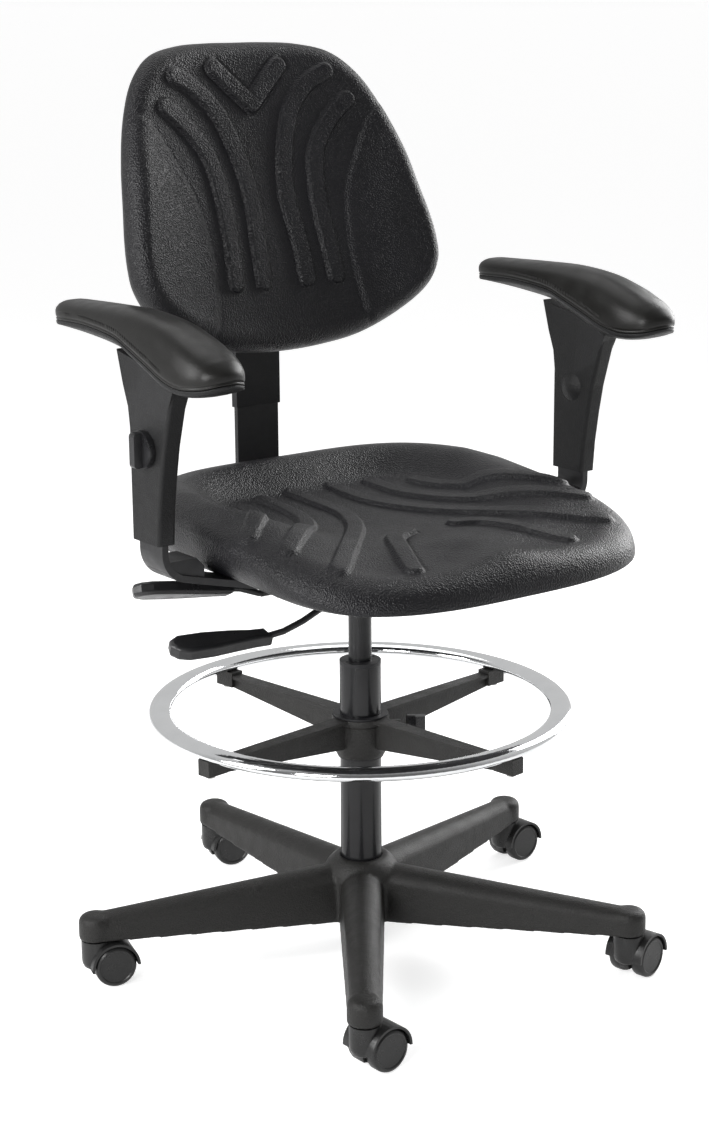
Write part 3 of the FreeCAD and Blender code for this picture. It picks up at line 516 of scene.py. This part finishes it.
def build_back():
    outline = smooth_line(BACK_OUTLINE + mirrored(BACK_OUTLINE[1:-1])[::-1], 8, closed=True)
    phi = np.linspace(0, 2 * math.pi, BACK_RAYS, endpoint=False)
    radius = outline_radius(outline, BACK_MIDDLE_T, phi)
    cos, sin = np.cos(phi), np.sin(phi)
    lines = []
    for rib in BACK_RIBS:
        local = [(x, up_the_back(z)) for x, z in rib]
        lines += [smooth_line(local), smooth_line(mirrored(local))]
    arm = [(x, up_the_back(z)) for x, z in BACK_V]
    lines.append(np.array(arm + mirrored(arm[:-1])[::-1], dtype=float))
    crease = smooth_line([(x, up_the_back(z)) for x, z in BACK_CREASE])
    crease_t = crease[::-1, 1]
    crease_x = crease[::-1, 0]

    def at(r):
        return cos * r, BACK_MIDDLE_T + sin * r

    def front(x, t):
        """How far the front face stands out (towards the sitter) from the plain drum."""
        edge = np.interp(t, crease_t, crease_x)
        beyond = np.abs(x) - edge
        near = distance_to(crease, np.abs(x), t)
        bolster = 3.2 * ramp(beyond, -3.0, 8.0) + 7.0 * ramp(beyond, 2, 70)
        bolster = bolster * ramp(-t, -335, -190)
        groove = -0.6 * np.exp(-((near - 1.0) / 2.4) ** 2) * ramp(-t, -280, -225)
        lumbar = 5.0 * np.exp(-((t - 70) / 75) ** 2) * (1 - ramp(np.abs(x), 60, 150))
        return bolster + groove + lumbar

    rings = []
    inner = radius - BACK_ROLL
    for k in range(1, BACK_FACE_RINGS + 1):
        x, t = at(inner * k / BACK_FACE_RINGS)
        out = front(x, t) + rib_relief(lines, x, t)
        rings.append(back_to_chair(x, drum(x) - out, t))
    edge_out = front(*at(inner))
    for k in range(1, BACK_ROLL_RINGS + 1):
        a = math.pi / 2 * k / BACK_ROLL_RINGS
        x, t = at(inner + BACK_ROLL * math.sin(a))
        deep = BACK_ROLL_DEPTH * (1 - math.cos(a)) - edge_out * math.cos(a)
        rings.append(back_to_chair(x, drum(x) + deep, t))
    for inset, depth in BACK_SIDE:
        x, t = at(radius - inset)
        rings.append(back_to_chair(x, drum(x) + depth, t))
    for share in (0.85, 0.6, 0.35, 0.12):
        x, t = at((radius - BACK_SIDE[-1][0]) * share)
        rings.append(back_to_chair(x, drum(x) + BACK_THICK, t))
    verts, faces = rings_mesh(rings)
    faces = [tuple(reversed(f)) for f in faces]
    obj = make_object("backrest_cushion_skin", verts, faces, "backrest", SKIN)
    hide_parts("backrest_cushion")
    return obj


# ----------------------------------------------------------------------------------------
# Arm pads
# ----------------------------------------------------------------------------------------
ARM_X = 305.0
PAD_MIDDLE_Y = -30.0
PAD_RAYS = 240
PAD_TOP_RINGS = 56
PAD_ROLL_SHARE = 0.92       # how much of the half width the rounding of the top takes
PAD_PLAN = [(0, 133), (16, 129), (24, 112), (27, 60), (30, 0), (34, -60), (37, -120), (36, -150),
            (29, -175), (16, -188), (0, -193)]
PAD_TOP = [(-193, 779), (-182, 783), (-160, 792), (-130, 803), (-90, 813), (-35, 818), (30, 817),
           (90, 815), (118, 814), (133, 812)]
PAD_EDGE = [(-193, 754), (-178, 749), (-150, 747.5), (-120, 753), (-90, 763), (-50, 775),
            (-10, 785), (60, 790), (133, 787)]
PAD_BELLY = [(-193, 744), (-170, 736.5), (-150, 734), (-120, 735.5), (-92, 743.5), (-52, 759.5),
             (-12, 772.5), (60, 779), (133, 778)]
PAD_SEAM_LIFT = 5.0         # height of the seam above the lower edge
# The twin groove, as (inset from the outline, height above or below the seam)
PAD_SEAM = [(0.1, 6.0), (0.5, 4.2), (1.8, 3.4), (1.9, 2.7), (0.9, 2.1), (0.9, 1.2), (1.8, 0.0)]
TRAY_SEAM = [(2.0, 0.4), (1.2, 0.7), (0.9, 1.4), (1.2, 3.4), (2.4, 5.0)]
TRAY_RINGS = 17


def along_pad(table, y):
    line = smooth_line(table, 12)
    return np.interp(y, line[:, 0], line[:, 1])


def build_pad(side, name):
    """The soft pad over its hard base, with the twin groove where they meet."""
    outline = smooth_line(PAD_PLAN + mirrored(PAD_PLAN[1:-1])[::-1], 12, closed=True)
    phi = np.linspace(0, 2 * math.pi, PAD_RAYS, endpoint=False)
    radius = outline_radius(outline, PAD_MIDDLE_Y, phi)
    cos, sin = np.cos(phi), np.sin(phi)
    rim = np.vstack([outline, outline[:1]])
    side_y = [y for x, y in reversed(PAD_PLAN)]
    side_x = [x for x, y in reversed(PAD_PLAN)]

    def at(r):
        return cos * r, PAD_MIDDLE_Y + sin * r

    def ring(r, z):
        x, y = at(r)
        return np.stack([ARM_X * side + x, y, z], axis=1)

    edge_low = along_pad(PAD_EDGE, at(radius)[1])
    edge_seam = edge_low + PAD_SEAM_LIFT
    rings = []
    for k in range(1, PAD_TOP_RINGS + 1):
        r = radius * (1 - (1 - k / PAD_TOP_RINGS) ** 2)
        x, y = at(r)
        roll = PAD_ROLL_SHARE * np.clip(np.interp(y, side_y, side_x), 24, 40)
        steep = np.clip(1 - distance_to(rim, x, y) / roll, 0, 1)
        waist = along_pad(PAD_EDGE, y) + PAD_SEAM_LIFT + 9.0
        dome = (1 - steep ** 2.4) ** (1 / 2.1)
        rings.append(ring(r, waist + (along_pad(PAD_TOP, y) - waist) * dome))
    for inset, lift in PAD_SEAM:
        rings.append(ring(radius - inset, edge_seam + lift))
    for share in (0.8, 0.5, 0.2):
        x, y = at(radius * share)
        rings.append(ring(radius * share, along_pad(PAD_EDGE, y) + PAD_SEAM_LIFT))
    verts, faces = rings_mesh(rings)
    pad = make_object("arm_pad_skin_" + name, verts, faces, "arm_" + name, ARM_SKIN)
    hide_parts("arm_pad_" + name)

    rings = []
    for share in (0.2, 0.5, 0.8):
        x, y = at(radius * share)
        rings.append(ring(radius * share, along_pad(PAD_EDGE, y) + PAD_SEAM_LIFT - 0.4))
    for inset, drop in TRAY_SEAM:
        rings.append(ring(radius - inset, edge_seam - drop))
    for k in range(1, TRAY_RINGS):
        share = 1 - k / TRAY_RINGS
        r = (radius - TRAY_SEAM[-1][0]) * share
        y = at(r)[1]
        belly = along_pad(PAD_BELLY, y)
        rings.append(ring(r, belly + (along_pad(PAD_EDGE, y) - belly) * share ** 2.2))
    verts, faces = rings_mesh(rings)
    base = make_object("arm_pad_tray_" + name, verts, faces, "arm_" + name, POST_NYLON)
    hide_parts("arm_pad_base_" + name)
    for obj in (pad, base):
        fix_normals(obj)


def fix_normals(obj):
    work = bmesh.new()
    work.from_mesh(obj.data)
    bmesh.ops.recalc_face_normals(work, faces=work.faces)
    work.to_mesh(obj.data)
    work.free()
    obj.data.shade_smooth()


# ----------------------------------------------------------------------------------------
# Moulded copies of CAD nodes: fillets where plain faces meet
# ----------------------------------------------------------------------------------------
def moulded(node, body, material, voxel=2.2, rounds=8):
    """A copy of a CAD node with its edges and inside corners rounded like a moulding."""
    mesh = NODES[node].data.copy()
    mesh.name = node + "_moulded"
    obj = bpy.data.objects.new(node + "_moulded", mesh)
    bpy.context.scene.collection.objects.link(obj)
    remesh = obj.modifiers.new("remesh", "REMESH")
    remesh.mode = "VOXEL"
    remesh.voxel_size = voxel * MM
    smoothing = obj.modifiers.new("smooth", "SMOOTH")
    smoothing.factor = 0.5
    smoothing.iterations = rounds
    graph = bpy.context.evaluated_depsgraph_get()
    final = bpy.data.meshes.new_from_object(obj.evaluated_get(graph))
    obj.modifiers.clear()
    obj.data = final
    final.shade_smooth()
    final.materials.clear()
    final.materials.append(material)
    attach(obj, body)
    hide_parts(node)
    return obj


def soften(node, width, segments=3):
    """Rounded edges on a CAD node that keeps its own mesh."""
    obj = NODES[node]
    weld = obj.modifiers.new("weld", "WELD")
    weld.merge_threshold = 0.00002
    bevel = obj.modifiers.new("bevel", "BEVEL")
    bevel.width = width * MM
    bevel.segments = segments
    bevel.limit_method = "ANGLE"
    bevel.angle_limit = math.radians(38)
    bevel.harden_normals = True
    bevel.use_clamp_overlap = True


# ----------------------------------------------------------------------------------------
# Stage: floor, lights, camera
# ----------------------------------------------------------------------------------------
VIEW_YAW = math.radians(36.884)
VIEW_PITCH = math.radians(14.55)
VIEW_ROLL = -0.0061
IMAGE_SIDE = 1125.0
FOCAL = 2209.66             # focal length in units of the image's pixels
SENSOR = 36.0
CAMERA_PLACE = (-1.5196, -2.0253, 1.1441)
CAMERA_SHIFT = -0.00462
FLOOR_HALF = 900.0          # metres, so that its far edge stays out of sight
FLOOR_GLOW = 0.60           # as the camera sees it; the chair is lit by FLOOR_BOUNCE
FLOOR_BOUNCE = 0.22
DARK_SIDE = (-0.6, -0.8, 0.0)
STUDIO_BRIGHT = 0.58
STUDIO_DARK = 0.14


def build_floor():
    corners = [(x * FLOOR_HALF, y * FLOOR_HALF, 0) for x, y in ((-1, -1), (1, -1), (1, 1), (-1, 1))]
    mesh = bpy.data.meshes.new("studio_floor")
    mesh.from_pydata(corners, [], [(0, 1, 2, 3)])
    floor = bpy.data.objects.new("studio_floor", mesh)
    bpy.context.scene.collection.objects.link(floor)
    s = Shader("studio_floor", (0.82, 0.82, 0.82), 0.6, specular=0.2)
    s.set("Emission Color", (1, 1, 1, 1))
    ray = s.tree.nodes.new("ShaderNodeLightPath")
    glow = s.span(ray.outputs["Is Camera Ray"], FLOOR_BOUNCE, FLOOR_GLOW, 0.0, 1.0)
    s.link(glow, s.bsdf.inputs["Emission Strength"])
    mesh.materials.append(s.material)


def soft_light(name, place, target, width, height, power):
    data = bpy.data.lights.new(name, "AREA")
    data.shape = "RECTANGLE"
    data.size = width
    data.size_y = height
    data.energy = power
    obj = bpy.data.objects.new(name, data)
    obj.location = place
    obj.rotation_mode = "QUATERNION"
    obj.rotation_quaternion = (Vector(target) - Vector(place)).to_track_quat("-Z", "Y")
    bpy.context.scene.collection.objects.link(obj)


def build_lights():
    """A white studio that falls off to a dark front, and a plain white background."""
    world = bpy.data.worlds.new("studio")
    bpy.context.scene.world = world
    world.use_nodes = True
    tree = world.node_tree
    ambient = tree.nodes["Background"]
    ambient.inputs["Color"].default_value = (1, 1, 1, 1)
    direction = tree.nodes.new("ShaderNodeTexCoord")
    facing = tree.nodes.new("ShaderNodeVectorMath")
    facing.operation = "DOT_PRODUCT"
    facing.inputs[1].default_value = DARK_SIDE
    fall = tree.nodes.new("ShaderNodeMapRange")
    fall.inputs["From Min"].default_value = -0.2
    fall.inputs["From Max"].default_value = 0.75
    fall.inputs["To Min"].default_value = STUDIO_BRIGHT
    fall.inputs["To Max"].default_value = STUDIO_DARK
    tree.links.new(direction.outputs["Generated"], facing.inputs[0])
    tree.links.new(facing.outputs["Value"], fall.inputs["Value"])
    tree.links.new(fall.outputs["Result"], ambient.inputs["Strength"])
    seen = tree.nodes.new("ShaderNodeBackground")
    seen.inputs["Strength"].default_value = 1.0
    seen.inputs["Color"].default_value = (1, 1, 1, 1)
    ray = tree.nodes.new("ShaderNodeLightPath")
    blend = tree.nodes.new("ShaderNodeMixShader")
    tree.links.new(ray.outputs["Is Camera Ray"], blend.inputs["Fac"])
    tree.links.new(ambient.outputs["Background"], blend.inputs[1])
    tree.links.new(seen.outputs["Background"], blend.inputs[2])
    tree.links.new(blend.outputs["Shader"], tree.nodes["World Output"].inputs["Surface"])
    soft_light("right_softbox", (2.6, 0.4, 1.5), (0, 0, 0.65), 1.4, 2.2, 62)
    soft_light("left_softbox", (-2.5, 0.5, 1.7), (0, 0, 0.7), 1.0, 1.8, 55)
    soft_light("top_softbox", (0.3, 0.9, 3.0), (0, 0, 0.5), 1.8, 1.8, 14)
    soft_light("front_softbox", (-2.3, -1.3, 1.35), (0, 0.2, 1.0), 0.8, 1.0, 42)
    bpy.context.scene.view_settings.view_transform = "Standard"


def build_camera():
    data = bpy.data.cameras.new("camera")
    data.sensor_fit = "AUTO"
    data.sensor_width = SENSOR
    data.lens = FOCAL / IMAGE_SIDE * SENSOR
    data.shift_x = CAMERA_SHIFT
    data.clip_end = 3000.0
    obj = bpy.data.objects.new("camera", data)
    turn = Matrix.Rotation(-VIEW_YAW, 4, "Z") @ Matrix.Rotation(math.pi / 2 - VIEW_PITCH, 4, "X")
    turn = turn @ Matrix.Rotation(VIEW_ROLL, 4, "Z")
    obj.matrix_world = Matrix.Translation(CAMERA_PLACE) @ turn
    bpy.context.scene.collection.objects.link(obj)
    bpy.context.scene.camera = obj


# ----------------------------------------------------------------------------------------
# Build
# ----------------------------------------------------------------------------------------
dress_cad_nodes()
fix_normals(build_seat())
fix_normals(build_back())
for side, name in ((1, "left"), (-1, "right")):
    build_pad(side, name)
    for node, width in (("arm_post_", 1.2), ("arm_bar_", 0.8), ("arm_knob_", 0.8)):
        soften(node + name, width)
moulded("base_star", "base", BASE_NYLON, 1.8, 8)
for node, width in (("foot_ring_spider", 1.0), ("back_bar", 0.8), ("back_bar_cover", 0.6),
                    ("lift_lever_paddle", 0.8), ("tilt_lever_paddle", 0.8),
                    ("mechanism_housing", 0.8),
                    ("back_slider", 0.8), ("foot_ring_knob", 0.8), ("back_knob", 1.0)):
    soften(node, width)
for index in range(1, 6):
    soften("caster_hood_%d" % index, 0.8)
    soften("caster_wheels_%d" % index, 0.5)
build_floor()
build_lights()
build_camera()
